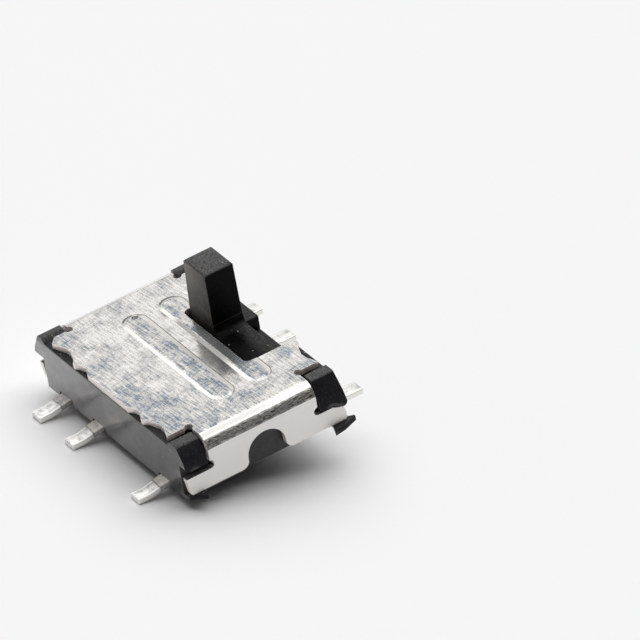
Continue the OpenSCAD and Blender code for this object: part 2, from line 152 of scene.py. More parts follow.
class NodeBench:
    """Adds shader nodes to one tree and wires them together."""

    def __init__(self, tree: Tree) -> None:
        """Keeps the tree to work on."""
        self.tree = tree

    def feed(self, socket: Socket, value: Feed) -> None:
        """Links a socket to another, or sets its constant.

        Args:
            socket: The input to feed.
            value: An output socket, a number or a tuple.
        """
        if isinstance(value, Socket):
            self.tree.links.new(value, socket)
        else:
            socket.default_value = value

    def add(self, kind: str, inputs: dict | None = None, **settings: object) -> bpy.types.Node:
        """Makes one node.

        Args:
            kind: The node's type name.
            inputs: Values or sockets by input name or index.
            settings: Properties of the node itself.

        Returns:
            The new node.
        """
        node = self.tree.nodes.new(kind)
        for name, value in settings.items():
            setattr(node, name, value)
        for name, value in (inputs or {}).items():
            self.feed(node.inputs[name], value)
        return node

    def maths(self, operation: str, *values: Value, clamp: bool = False) -> Socket:
        """One Math node.

        Args:
            operation: The Math operation.
            values: Its inputs in order.
            clamp: Whether the result stays between 0 and 1.

        Returns:
            The result.
        """
        inputs = dict(enumerate(values))
        return self.add("ShaderNodeMath", inputs, operation=operation, use_clamp=clamp).outputs[0]

    def chain(self, operation: str, *values: Value) -> Socket:
        """Puts values through one operation, in order.

        Args:
            operation: The Math operation.
            values: Two values or more.

        Returns:
            The result.
        """
        return reduce(lambda first, second: self.maths(operation, first, second), values)

    def product(self, *values: Value) -> Socket:
        """Multiplies values."""
        return self.chain("MULTIPLY", *values)

    def total(self, *values: Value) -> Socket:
        """Adds values up."""
        return self.chain("ADD", *values)

    def largest(self, *values: Value) -> Socket:
        """The largest of some values."""
        return self.chain("MAXIMUM", *values)

    def compared(self, operation: str, first: Feed, second: Feed) -> Socket:
        """Makes one number of two vectors.

        Args:
            operation: The Vector Math operation, a dot product or a distance.
            first: One vector.
            second: The other.

        Returns:
            The number.
        """
        node = self.add("ShaderNodeVectorMath", {0: first, 1: second}, operation=operation)
        return node.outputs["Value"]

    def axes(self, vector: Socket) -> Sockets:
        """A vector's X, Y and Z."""
        return self.add("ShaderNodeSeparateXYZ", {"Vector": vector}).outputs

    def ranged(self, value: Socket, step: Step) -> Socket:
        """Puts a value through a smooth step.

        Args:
            value: What to read.
            step: The step.

        Returns:
            The step's result.
        """
        inputs = {
            "Value": value, "From Min": step.low, "From Max": step.high,
            "To Min": step.before, "To Max": step.after,
        }
        node = self.add("ShaderNodeMapRange", inputs, interpolation_type="SMOOTHSTEP")
        return node.outputs["Result"]

    def blend(self, factor: Value, first: Socket | Colour, second: Socket | Colour) -> Socket:
        """Mixes two colours.

        Args:
            factor: How much of the second.
            first: Colour where the factor is 0.
            second: Colour where the factor is 1.

        Returns:
            The mixed colour.
        """
        first, second = ((*c, 1.0) if isinstance(c, tuple) else c for c in (first, second))
        node = self.add("ShaderNodeMix", data_type="RGBA")
        for index, value in ((0, factor), (6, first), (7, second)):
            self.feed(node.inputs[index], value)
        return node.outputs[2]

    def layered(self, shade: Socket | Colour, *coats: tuple[Value, Colour]) -> Socket:
        """Lays coats of colour on a shade, the first one lowest.

        Args:
            shade: The colour underneath.
            coats: Masks, each with its colour.

        Returns:
            The colour on top.
        """
        for mask, colour in coats:
            shade = self.blend(mask, shade, colour)
        return shade

    def vary(self, factor: Value, first: Value, second: Value) -> Socket:
        """Mixes two numbers.

        Args:
            factor: How much of the second.
            first: Number where the factor is 0.
            second: Number where the factor is 1.

        Returns:
            The mixed number.
        """
        node = self.add("ShaderNodeMix", {0: factor, 2: first, 3: second}, data_type="FLOAT")
        return node.outputs[0]

    def mapped(
        self, vector: Socket, turn: Triple = NONE, shift: Triple = NONE,
        scale: Triple = FULL,
    ) -> Socket:
        """Coordinates scaled, turned and moved.

        Args:
            vector: The coordinates.
            turn: The angle about each axis, in degrees.
            shift: How far to move them.
            scale: The scale along each axis.

        Returns:
            The new coordinates.
        """
        angles = tuple(math.radians(angle) for angle in turn)
        inputs = {"Vector": vector, "Rotation": angles, "Location": shift, "Scale": scale}
        return self.add("ShaderNodeMapping", inputs).outputs[0]

    def noise(
        self, vector: Socket, scale: Value, detail: float = 2.0, rough: float = 0.5,
        twist: float = 0.0,
    ) -> Socket:
        """A noise value.

        Args:
            vector: Where to read it.
            scale: Features per unit of the vector.
            detail: Octaves.
            rough: How strong the finer octaves are.
            twist: Distortion.

        Returns:
            The noise, about 0.5 on average.
        """
        inputs = {
            "Vector": vector, "Scale": scale, "Detail": detail, "Roughness": rough,
            "Distortion": twist,
        }
        return self.add("ShaderNodeTexNoise", inputs).outputs["Fac"]

    def clouded(self, vector: Socket, cloud: Cloud) -> Socket:
        """A noise made into a mask.

        Args:
            vector: Where to read it.
            cloud: The noise and its step.

        Returns:
            The mask.
        """
        return self.ranged(self.noise(vector, cloud.scale, cloud.detail, cloud.rough), cloud.step)

    def group(self, tree: Tree, **values: Feed) -> Sockets:
        """Places a node group.

        Args:
            tree: The group.
            values: Its inputs by name.

        Returns:
            The group's outputs.
        """
        return self.add("ShaderNodeGroup", values, node_tree=tree).outputs


class Effect(NodeBench):
    """A shared effect under construction: a node group with named inputs and outputs."""

    def __init__(
        self, name: str, inputs: dict[str, float | None], outputs: tuple[str, ...],
    ) -> None:
        """Makes an empty group with its sockets.

        Args:
            name: The group's name.
            inputs: Default values by name; None stands for a vector.
            outputs: Names of the float outputs.
        """
        super().__init__(bpy.data.node_groups.new(name, "ShaderNodeTree"))
        for key, value in inputs.items():
            kind = "NodeSocketVector" if value is None else "NodeSocketFloat"
            made = self.tree.interface.new_socket(key, in_out="INPUT", socket_type=kind)
            if value is not None:
                made.default_value = value
        for key in outputs:
            self.tree.interface.new_socket(key, in_out="OUTPUT", socket_type="NodeSocketFloat")
        self.given = self.add("NodeGroupInput").outputs
        self.leave = self.add("NodeGroupOutput").inputs

    def peaks(
        self, height: Socket, share: Socket, top: float, reach: float, steepness: float,
    ) -> Socket:
        """Picks out what stands highest.

        Args:
            height: What to read.
            share: How much to pick, from 0 to 1.
            top: The height that the mask starts at for a share of 0.
            reach: How far that falls for a share of 1.
            steepness: How fast the mask rises from there.

        Returns:
            The mask.
        """
        start = self.maths("SUBTRACT", top, self.product(share, reach))
        over = self.maths("SUBTRACT", height, start)
        return self.maths("MULTIPLY", over, steepness, clamp=True)

    def give(self, **values: Socket) -> Tree:
        """Feeds the group's outputs.

        Args:
            values: What each output gives, by its name.

        Returns:
            The finished group.
        """
        for name, value in values.items():
            self.feed(self.leave[name], value)
        return self.tree


class EffectLibrary:
    """The surface effects that several finishes share, each built once.

    The slow unevenness is SLOWER times as fine as its grain, the crackle CRACKLE_FINER times as
    fine as its blotches, and CORNER reads the cosine between a rounded normal and the true one.
    """

    SLOWER = 0.09
    UNEVENNESS = Step(0.32, 0.68)
    SMALLEST_SPECK = 0.3
    SPECK_RIM = Step(1.0, 0.55)
    CRACKLE_FINER = 7.0
    CRACKLE = Step(0.38, 0.62)
    CORNER = Step(0.985, 0.82)
    FRAY = Step(0.3, 0.62)

    def __init__(self) -> None:
        """Builds every group."""
        self.grain = self.build_grain()
        self.specks = self.build_specks()
        self.hairlines = self.build_hairlines()
        self.blotches = self.build_blotches()
        self.wear_and_highlight_edges = self.build_wear_and_highlight_edges()

    def build_grain(self) -> Tree:
        """Fine moulded or plated grain, as a height and as a slow unevenness.

        Returns:
            The group.
        """
        inputs = {"Vector": None, "Scale": 20.0, "Softness": 0.5}
        effect = Effect("surface_grain", inputs, ("Height", "Unevenness"))
        place, scale = effect.given["Vector"], effect.given["Scale"]
        fine = effect.noise(place, scale, detail=3.0, rough=0.6)
        slow = effect.noise(place, effect.product(scale, self.SLOWER), detail=2.0)
        height = effect.vary(effect.given["Softness"], fine, slow)
        return effect.give(Height=height, Unevenness=effect.ranged(slow, self.UNEVENNESS))

    def build_specks(self) -> Tree:
        """Sparse small round specks, such as dust or pits.

        Returns:
            The group.
        """
        inputs = {"Vector": None, "Scale": 8.0, "Share": 0.2, "Size": 0.2}
        effect = Effect("small_specks", inputs, ("Mask",))
        given = effect.given
        grid = {"Vector": given["Vector"], "Scale": given["Scale"]}
        cells = effect.add("ShaderNodeTexVoronoi", grid, feature="F1").outputs
        pick = effect.add("ShaderNodeSeparateColor", {"Color": cells["Color"]}).outputs
        chosen = effect.maths("LESS_THAN", pick[0], given["Share"])
        reach = effect.product(given["Size"], effect.total(pick[1], self.SMALLEST_SPECK))
        rim = effect.ranged(effect.maths("DIVIDE", cells["Distance"], reach), self.SPECK_RIM)
        return effect.give(Mask=effect.product(chosen, rim))

    def build_hairlines(self) -> Tree:
        """Thin streaks along the vector's X axis, as a height and as a mask.

        Returns:
            The group.
        """
        inputs = {"Vector": None, "Scale": 20.0, "Length": 12.0, "Share": 0.4}
        effect = Effect("hairlines", inputs, ("Height", "Mask"))
        x, y, z = effect.axes(effect.given["Vector"])
        along = effect.maths("DIVIDE", x, effect.given["Length"])
        laid = effect.add("ShaderNodeCombineXYZ", {0: along, 1: y, 2: z}).outputs[0]
        lines = effect.noise(laid, effect.given["Scale"], detail=4.0, rough=0.7)
        mask = effect.peaks(lines, effect.given["Share"], top=0.8, reach=0.5, steepness=9.0)
        return effect.give(Height=lines, Mask=mask)

    def build_blotches(self) -> Tree:
        """Cloudy patches with a broken, crackled inside.

        Returns:
            The group.
        """
        inputs = {"Vector": None, "Scale": 2.0, "Share": 0.5, "Crackle": 0.5}
        effect = Effect("blotches", inputs, ("Mask",))
        place, scale = effect.given["Vector"], effect.given["Scale"]
        cloud = effect.noise(place, scale, detail=4.0, rough=0.62, twist=0.4)
        patch = effect.peaks(cloud, effect.given["Share"], top=0.75, reach=0.4, steepness=7.0)
        finer = effect.product(scale, self.CRACKLE_FINER)
        crackle = effect.ranged(effect.noise(place, finer, detail=3.0, rough=0.7), self.CRACKLE)
        broken = effect.vary(effect.given["Crackle"], 1.0, crackle)
        return effect.give(Mask=effect.product(patch, broken))

    def build_wear_and_highlight_edges(self) -> Tree:
        """A frayed mask along outward and inward corners within a radius, for edge wear that is
        also a painted edge highlight.

        Returns:
            The group.
        """
        inputs = {"Vector": None, "Radius": 0.03 * MM, "Scale": 30.0}
        effect = Effect("wear_and_highlight_edges", inputs, ("Mask",))
        given = effect.given
        rounded = effect.add("ShaderNodeBevel", {"Radius": given["Radius"]}, samples=6).outputs[0]
        facing = effect.add("ShaderNodeNewGeometry").outputs["Normal"]
        corner = effect.ranged(effect.compared("DOT_PRODUCT", rounded, facing), self.CORNER)
        fray = effect.ranged(effect.noise(given["Vector"], given["Scale"], detail=3.0), self.FRAY)
        return effect.give(Mask=effect.product(corner, fray))


class Finish:
    """A procedural material under construction, read in millimetres."""

    def __init__(self, name: str) -> None:
        """Starts a material with one Principled shader.

        Args:
            name: The material's name.
        """
        self.material = bpy.data.materials.new(name)
        self.material.use_nodes = True
        tree = self.material.node_tree
        tree.nodes.clear()
        self.bench = NodeBench(tree)
        self.shader = self.bench.add("ShaderNodeBsdfPrincipled")
        shown = {"Surface": self.shader.outputs[0]}
        self.out = self.bench.add("ShaderNodeOutputMaterial", shown)
        metres = self.bench.add("ShaderNodeTexCoord").outputs["Object"]
        self.place = self.bench.mapped(metres, scale=(1 / MM,) * 3)

    @cached_property
    def where(self) -> Sockets:
        """The place's X, Y and Z."""
        return self.bench.axes(self.place)

    @cached_property
    def facing(self) -> Sockets:
        """The X, Y and Z of the surface's normal."""
        return self.bench.axes(self.bench.add("ShaderNodeNewGeometry").outputs["Normal"])

    def read(self, gauge: Gauge) -> Socket:
        """Reads the surface.

        Args:
            gauge: What to read.

        Returns:
            The reading.
        """
        on_normal, axis, unsigned = gauge.value
        reading = (self.facing if on_normal else self.where)[axis]
        return self.bench.maths("ABSOLUTE", reading) if unsigned else reading

    def zone(self, zone: Zone) -> Socket:
        """Picks out a part of the surface.

        Args:
            zone: Gauges with their steps, which are multiplied.

        Returns:
            The mask.
        """
        steps = [self.bench.ranged(self.read(gauge), step) for gauge, step in zone]
        return self.bench.product(*steps)

    def zones(self, *zones: Zone) -> Socket:
        """The largest of several zones' masks."""
        return self.bench.largest(*(self.zone(zone) for zone in zones))

    def streaked(self, effects: EffectLibrary, streaks: Streaks) -> Sockets:
        """Runs hairlines over the surface.

        Args:
            effects: The shared effects.
            streaks: How the lines run.

        Returns:
            Their height and mask.
        """
        laid = self.bench.mapped(self.place, streaks.turn, streaks.shift)
        return self.bench.group(
            effects.hairlines, Vector=laid, Scale=streaks.scale, Length=streaks.length,
            Share=streaks.share,
        )

    def set(self, **values: Feed) -> None:
        """Feeds the shader's inputs.

        Args:
            values: Values or sockets by input name, with underscores for spaces.
        """
        for name, value in values.items():
            self.bench.feed(self.shader.inputs[name.replace("_", " ")], value)

    def relief(self, height: Socket, depth: float, under: Socket | None = None) -> Socket:
        """A bump of a real depth.

        Args:
            height: The height, from 0 to 1.
            depth: How deep 1 is.
            under: A bump to lay this one on.

        Returns:
            The bumped normal.
        """
        inputs = {"Height": height, "Distance": depth * MM, "Strength": 1.0}
        if under is not None:
            inputs["Normal"] = under
        return self.bench.add("ShaderNodeBump", inputs).outputs[0]


# ---------------- finishes


@dataclass(frozen=True)
class MouldedPlastic:
    """Black moulded plastic: glossy sides under a painted sheen, tops lit with painted light, rub
    wear, and a little dust.

    The painted sheen on the sides is stronger towards the -X end and stops just under the top edge,
    leaving a painted dark line there; end faces get a little of it. The painted light on tops and
    edges grows with height, and on the slider away from the lever, whose plate stays dark as
    painted shade. Without gloss the sides have no clear coat.
    """

    name: str
    colour: Colour = (0.008, 0.008, 0.0095)
    mottle: Colour = (0.024, 0.025, 0.03)
    # painted sheen: a pale colour laid on the dark sides for the light they reflect
    painted_sheen: Colour = (0.455, 0.443, 0.444)
    # colour of rub wear and of painted light: lighter tops, draw lines with painted sheen, scuffs,
    # and edges with painted highlights
    wear_and_top_light: Colour = (0.28, 0.278, 0.272)
    dust: Colour = (0.6, 0.58, 0.54)
    roughness: float = 0.5
    roughness_spread: float = 0.1
    index: float = 1.24
    gloss: float = 1.0
    gloss_roughness: float = 0.12
    gloss_index: float = 1.5
    grain: float = 22.0
    grain_softness: float = 0.1
    grain_depth: float = 0.0034
    top: Zone = ((Gauge.FACING_Z, Step(0.5, 0.85, 0.03, 1.0)),)
    side: Zone = (SIDES,)
    painted_sheen_share: float = 0.68
    # painted sheen on the sides, stronger towards the -X end and cut off just under the top edge,
    # where the bare black is a painted shadow line; a quarter of it on the end faces
    painted_sheen_on: tuple[Zone, ...] = (
        (SIDES, (Gauge.X, Step(3.2, -3.0, 0.1, 1.0)), (Gauge.Z, Step(1.355, 1.27))),
        ((Gauge.END_ON, Step(0.99, 0.998, 0.0, 0.25)),),
    )
    painted_sheen_clouds: Cloud = Cloud(1.6, 5.0, 0.7, Step(0.3, 0.7, 0.72, 1.0))
    # painted light on the tops and edges, growing with height
    painted_light_on: tuple[Zone, ...] = (((Gauge.Z, Step(1.36, 1.46, 0.18, 0.95)),),)
    mottling: Cloud = Cloud(13.0, 4.0, 0.75, Step(0.48, 0.72))
    # share of the painted top light, laid on together with rub wear
    top_wear_and_light: float = 0.5
    sparkle: Cloud = Cloud(24.0, 4.0, 0.75, Step(0.35, 0.7, 0.18, 1.08))
    scuffs: Streaks = Streaks(12.0, 7.0, 0.3, (20.0, 35.0, 28.0))
    scuffed: float = 0.4
    # draw lines on the sides in the light top colour: part real streaks, part painted sheen
    draw_lines: Streaks = Streaks(11.0, 7.0, 0.6, (0.0, 90.0, 0.0))
    drawn: float = 0.06
    # edge wear, also a painted edge highlight
    edge_wear_and_highlight: float = 0.3
    worn_radius: float = 0.03
    worn_scale: float = 24.0
    dusty: float = 0.1
    speck_scale: float = 13.0
    speck_size: float = 0.24
    speck_cover: float = 0.8
    speck_roughness: float = 0.9

    def build(self, effects: EffectLibrary) -> Material:
        """Makes the material.

        Args:
            effects: The shared effects.

        Returns:
            The material.
        """
        finish = Finish(self.name)
        bench, place = finish.bench, finish.place
        top, side = finish.zone(self.top), finish.zone(self.side)
        painted_light = finish.zones(*self.painted_light_on)
        grain = bench.group(
            effects.grain, Vector=place, Scale=self.grain, Softness=self.grain_softness,
        )
        specks = bench.group(
            effects.specks, Vector=place, Scale=self.speck_scale, Size=self.speck_size,
            Share=bench.product(top, self.dusty),
        )["Mask"]
        scuffs = finish.streaked(effects, self.scuffs)["Mask"]
        draw_lines = finish.streaked(effects, self.draw_lines)["Mask"]
        edges = bench.group(
            effects.wear_and_highlight_edges, Vector=place, Radius=self.worn_radius * MM, Scale=self.worn_scale,
        )["Mask"]
        clouds = bench.clouded(place, self.painted_sheen_clouds)
        sparkle = bench.clouded(place, self.sparkle)
        # coats: mottle, painted sheen on the sides, painted light with rub wear on the tops, draw
        # lines with painted sheen, scuffs, edge wear with painted highlights, dust
        shade = bench.layered(
            self.colour,
            (bench.clouded(place, self.mottling), self.mottle),
            (bench.product(finish.zones(*self.painted_sheen_on), clouds, self.painted_sheen_share), self.painted_sheen),
            (bench.product(sparkle, top, painted_light, self.top_wear_and_light), self.wear_and_top_light),
            (bench.product(draw_lines, side, self.drawn), self.wear_and_top_light),
            (bench.product(scuffs, top, self.scuffed), self.wear_and_top_light),
            (bench.product(edges, painted_light, self.edge_wear_and_highlight), self.wear_and_top_light),
            (bench.product(specks, self.speck_cover), self.dust),
        )
        low, high = self.roughness - self.roughness_spread, self.roughness + self.roughness_spread
        rough = bench.vary(specks, bench.vary(grain["Unevenness"], low, high), self.speck_roughness)
        normal = finish.relief(grain["Height"], self.grain_depth)
        finish.set(Base_Color=shade, Roughness=rough, Normal=normal, IOR=self.index)
        if self.gloss:
            coat = bench.product(side, self.gloss)
            finish.set(Coat_Weight=coat)
            finish.set(Coat_Roughness=self.gloss_roughness, Coat_IOR=self.gloss_index)
        return finish.material


@dataclass(frozen=True)
class BentTin:
    """Bright tin-plated sheet: brushed along its length, scuffed blue-grey, with painted shade in
    its bends.

    The scuffs lie on what is level and on the crowns of the beads. Some bead flanks get a painted
    highlight, and the one beside the lever painted shade; a painted dark line marks their foot, the
    bends carry a painted highlight and a band of painted shade, and the upright flaps are satin and
    painted near-white.
    """

    name: str
    # bright tin between the scuffs, and the colour of the painted highlights on flanks and bends
    bright: Colour = (0.9, 0.885, 0.865)
    clean: Colour = (0.66, 0.645, 0.615)
    # near-white colour of the upright flaps, a painted lighter side
    painted_bright_upright: Colour = (0.98, 0.967, 0.945)
    scuffed: Colour = (0.07, 0.115, 0.18)
    # painted shade: a dark band on the fold's lower curve, and lines at the beads' foot and in the
    # dent
    painted_shade: Colour = (0.13, 0.126, 0.115)
    # painted shade of the lever on the flank of the bead beside it
    painted_lever_shade: Colour = (0.2, 0.2, 0.19)
    roughness: float = 0.11
    scuff_roughness: float = 0.33
    satin: float = 0.65
    metal: float = 0.84
    scuff_metal: float = 0.68
    satin_metal: float = 0.5

    # parts of the sheet
    level: Zone = ((Gauge.FACING_Z, Step(0.99, 0.998)),)
    nearly_level: Zone = ((Gauge.FACING_Z, Step(0.8, 0.9)),)
    bead_crown: Zone = ((Gauge.FACING_Y, Step(0.05, -0.02)), (Gauge.Z, Step(1.5135, 1.5165)))
    bead_end: Zone = ((Gauge.FACING_X, Step(0.04, 0.1)), (Gauge.X, Step(2.4, 2.3)))
    # the bend, where a painted highlight lies
    bend: Zone = ((Gauge.FACING_Z, Step(0.74, 0.8)), (Gauge.FACING_Z, Step(0.985, 0.965)))
    # the lower curve of the bend, where the band of painted shade lies
    below_bend: Zone = ((Gauge.FACING_Z, Step(0.76, 0.68)), (Gauge.FACING_Z, Step(0.06, 0.2)))
    upright: Zone = ((Gauge.FACING_Z, Step(0.3, 0.06)),)
    # the -Y flanks of the beads, which get a painted highlight
    highlit_flank: Zone = (
        (Gauge.FACING_Y, Step(-0.04, -0.1)),
        (Gauge.FACING_Z, Step(0.997, 0.993)),
        (Gauge.FACING_Z, Step(0.9, 0.95)),
    )
    satin_flank: Zone = ((Gauge.FACING_Z, Step(0.94, 0.975)), (Gauge.FACING_Y, Step(0.03, 0.1)))
    # the bead flank beside the lever that gets the painted lever shade
    lever_shaded_flank: Zone = (
        (Gauge.FACING_Y, Step(-0.05, -0.1)),
        (Gauge.Y, Step(0.3, 0.4)),
        (Gauge.X, Step(1.5, 0.7)),
        (Gauge.X, Step(-1.5, -1.1)),
        (Gauge.Z, Step(1.5165, 1.514, 0.2, 0.8)),
    )
    # where the painted shade line at the foot of the beads lies, and the dent whose hollow it
    # darkens
    raised: Zone = ((Gauge.Z, Step(1.4995, 1.5005)),)
    side_foot: Zone = ((Gauge.FACING_Y, Step(0.03, 0.09)), (Gauge.Z, Step(1.5045, 1.5025)))
    end_foot: Zone = ((Gauge.FACING_X, Step(-0.05, -0.11)), (Gauge.Z, Step(1.513, 1.508)))
    dent: Triple = (-2.09, -0.13, 1.5)
    dent_rim: Step = Step(0.1, 0.07)
    dent_below: Zone = ((Gauge.Z, Step(1.515, 1.5)),)

    # scuffs: lines along and across, fine grain and slow patches, cut at a wandering height
    edge_scuffs: Zone = ((Gauge.Y, Step(-1.0, -2.0, 0.0, 0.52)),)
    end_scuffs: Zone = ((Gauge.X, Step(-0.6, 2.4, 0.0, 0.44)),)
    corner_scuffs: Zone = ((Gauge.X, Step(-2.2, -3.0, 0.0, 0.3)),)
    bead_scuffs: Zone = ((Gauge.Z, Step(1.508, 1.516, 0.0, 0.5)),)
    scuff_clouds: Cloud = Cloud(1.3, 3.0, 0.65, Step(0.36, 0.64, -0.2, 0.55))
    along: Streaks = Streaks(20.0, 9.0, 0.5, (0.0, 0.0, -4.0), (1.0, 5.0, 0.0))
    across: Streaks = Streaks(17.0, 4.0, 0.5, (0.0, 0.0, 78.0), (3.0, 1.0, 0.0))
    along_part: float = 1.75
    across_part: float = 0.9
    fine_scale: float = 24.0
    fine_part: float = 0.95
    patch_scale: float = 5.5
    patch_stretch: Triple = (0.7, 1.0, 1.0)
    patch_part: float = 0.1
    share_part: float = 0.37
    cut_at: float = 1.57
    scuff_step: Step = Step(0.17, -0.33)
    scuff_cover: float = 0.85
    gleam_step: Step = Step(0.1, 0.42)
    # painted highlights: fading on the flanks away from the level, and along the bend
    flank_highlight_fade: Step = Step(0.0, 1.0, 0.55, 0.0)
    bend_highlight: float = 0.85

    # painted shade and relief
    # dashes: they break up the band of painted shade on the fold, and bump it
    dashes: Streaks = Streaks(26.0, 3.5, 0.72, (0.0, 0.0, 90.0), (7.0, 2.0, 0.0))
    dash_shade: tuple[float, float] = (0.6, 1.1)
    dash_depth: float = 0.003
    painted_shade_cover: float = 0.92
    flank_satin: float = 0.75
    brush: Streaks = Streaks(17.0, 14.0, 0.5)
    brush_depth: float = 0.0022
    brush_off_level: float = 0.25
    buckle_scale: float = 0.7
    buckle_depth: float = 0.004

    def level_mask(self, finish: Finish) -> Socket:
        """What the scuffs can reach: the level sheet, the beads' crowns and their near ends.

        Args:
            finish: The material under construction.

        Returns:
            The mask.
        """
        bench = finish.bench
        bead = finish.zones(self.bead_crown, self.bead_end)
        bead = bench.product(bead, finish.zone(self.nearly_level))
        return bench.largest(finish.zone(self.level), bead)

    def scuff_share(self, finish: Finish) -> Socket:
        """How thickly the top is scuffed at each place: most along one long edge and one end.

        Args:
            finish: The material under construction.

        Returns:
            A share from 0 to 1.
        """
        bench = finish.bench
        zones = (self.edge_scuffs, self.end_scuffs, self.corner_scuffs, self.bead_scuffs)
        placed = bench.total(*(finish.zone(zone) for zone in zones))
        cloud = bench.clouded(finish.place, self.scuff_clouds)
        return bench.maths("ADD", placed, cloud, clamp=True)

    def tone(self, finish: Finish, effects: EffectLibrary) -> Socket:
        """The sheet's streaky tone, against the height at which the scuffs are cut.

        Args:
            finish: The material under construction.
            effects: The shared effects.

        Returns:
            The tone: above 0 where the tin is bright, below it where it is scuffed.
        """
        bench, place = finish.bench, finish.place
        along = finish.streaked(effects, self.along)["Height"]
        across = finish.streaked(effects, self.across)["Height"]
        fine = bench.noise(place, self.fine_scale, detail=3.0, rough=0.8)
        patchy = bench.noise(bench.mapped(place, scale=self.patch_stretch), self.patch_scale)
        tone = bench.total(
            bench.product(along, self.along_part), bench.product(across, self.across_part),
            bench.product(fine, self.fine_part), bench.product(patchy, self.patch_part),
        )
        cut = bench.total(bench.product(self.scuff_share(finish), self.share_part), self.cut_at)
        return bench.maths("SUBTRACT", tone, cut)

    def bright_tin_and_highlights(self, finish: Finish, tone: Socket, level: Socket) -> Socket:
        """Bright tin between the scuffs, and painted highlights on some flanks
        and along the bends.

        Args:
            finish: The material under construction.
            tone: The sheet's streaky tone.
            level: The mask of what the scuffs can reach.

        Returns:
            The mask.
        """
        bench = finish.bench
        sheet = bench.product(bench.ranged(tone, self.gleam_step), level)
        flank = bench.product(
            finish.zone(self.highlit_flank), bench.ranged(level, self.flank_highlight_fade),
        )
        return bench.largest(sheet, flank, bench.product(finish.zone(self.bend), self.bend_highlight))

    def outline(self, finish: Finish) -> Socket:
        """The painted shade along the foot of the beads and in the small dent.

        Args:
            finish: The material under construction.

        Returns:
            The mask.
        """
        bench = finish.bench
        foot = finish.zones(self.side_foot, self.end_foot)
        from_dent = bench.compared("DISTANCE", finish.place, self.dent)
        dent = bench.product(bench.ranged(from_dent, self.dent_rim), finish.zone(self.dent_below))
        return bench.largest(bench.product(finish.zone(self.raised), foot), dent)

    def build(self, effects: EffectLibrary) -> Material:
        """Makes the material.

        Args:
            effects: The shared effects.

        Returns:
            The material.
        """
        finish = Finish(self.name)
        bench = finish.bench
        level, upright = self.level_mask(finish), finish.zone(self.upright)
        tone = self.tone(finish, effects)
        scuff = bench.product(bench.ranged(tone, self.scuff_step), level)
        dashes = finish.streaked(effects, self.dashes)["Mask"]
        curved = finish.zone(self.below_bend)
        # band of painted shade on the fold, broken into dashes
        painted_shade = bench.product(bench.vary(dashes, *self.dash_shade), curved, self.painted_shade_cover)
        # coats: painted lighter flaps, bright tin with painted highlights, scuffs, painted lever
        # shade, painted shade on the fold, at the beads' foot and in the dent
        shade = bench.layered(
            self.clean,
            (upright, self.painted_bright_upright),
            (self.bright_tin_and_highlights(finish, tone, level), self.bright),
            (bench.product(scuff, self.scuff_cover), self.scuffed),
            (finish.zone(self.lever_shaded_flank), self.painted_lever_shade),
            (painted_shade, self.painted_shade),
            (bench.product(self.outline(finish), self.painted_shade_cover), self.painted_shade),
        )
        satin = bench.largest(
            upright, bench.product(finish.zone(self.satin_flank), self.flank_satin),
        )
        rough = bench.vary(scuff, self.roughness, self.scuff_roughness)
        rough = bench.vary(satin, rough, self.satin)
        metal = bench.vary(scuff, self.metal, self.scuff_metal)
        metal = bench.vary(upright, metal, self.satin_metal)
        slow = bench.noise(finish.place, self.buckle_scale, detail=1.0)
        normal = finish.relief(bench.product(slow, level), self.buckle_depth)
        lines = finish.streaked(effects, self.brush)["Height"]
        lines = bench.product(lines, bench.vary(level, self.brush_off_level, 1.0))
        normal = finish.relief(lines, self.brush_depth, normal)
        normal = finish.relief(bench.product(dashes, curved), self.dash_depth, normal)
        finish.set(Base_Color=shade, Roughness=rough, Normal=normal, Metallic=metal)
        return finish.material


@dataclass(frozen=True)
class ShearedSteel:
    """The plated, slightly pink cut edge of the sheet, torn across its thickness."""

    name: str
    colour: Colour = (0.98, 0.915, 0.88)
    dark: Colour = (0.5, 0.42, 0.36)
    darkened: float = 0.45
    patch_scale: float = 3.0
    patch_share: float = 0.3
    patch_crackle: float = 0.5
    tears: Streaks = Streaks(9.0, 5.0, 0.4, (0.0, 90.0, 0.0))
    tear_depth: float = 0.002
    roughness: float = 0.38
    torn_roughness: float = 0.5
    metal: float = 0.25

    def build(self, effects: EffectLibrary) -> Material:
        """Makes the material.

        Args:
            effects: The shared effects.

        Returns:
            The material.
        """
        finish = Finish(self.name)
        bench = finish.bench
        tears = finish.streaked(effects, self.tears)
        patches = bench.group(
            effects.blotches, Vector=finish.place, Scale=self.patch_scale,
            Share=self.patch_share, Crackle=self.patch_crackle,
        )["Mask"]
        shade = bench.layered(self.colour, (bench.product(patches, self.darkened), self.dark))
        rough = bench.vary(tears["Mask"], self.roughness, self.torn_roughness)
        normal = finish.relief(tears["Height"], self.tear_depth)
        finish.set(Base_Color=shade, Roughness=rough, Normal=normal, Metallic=self.metal)
        return finish.material


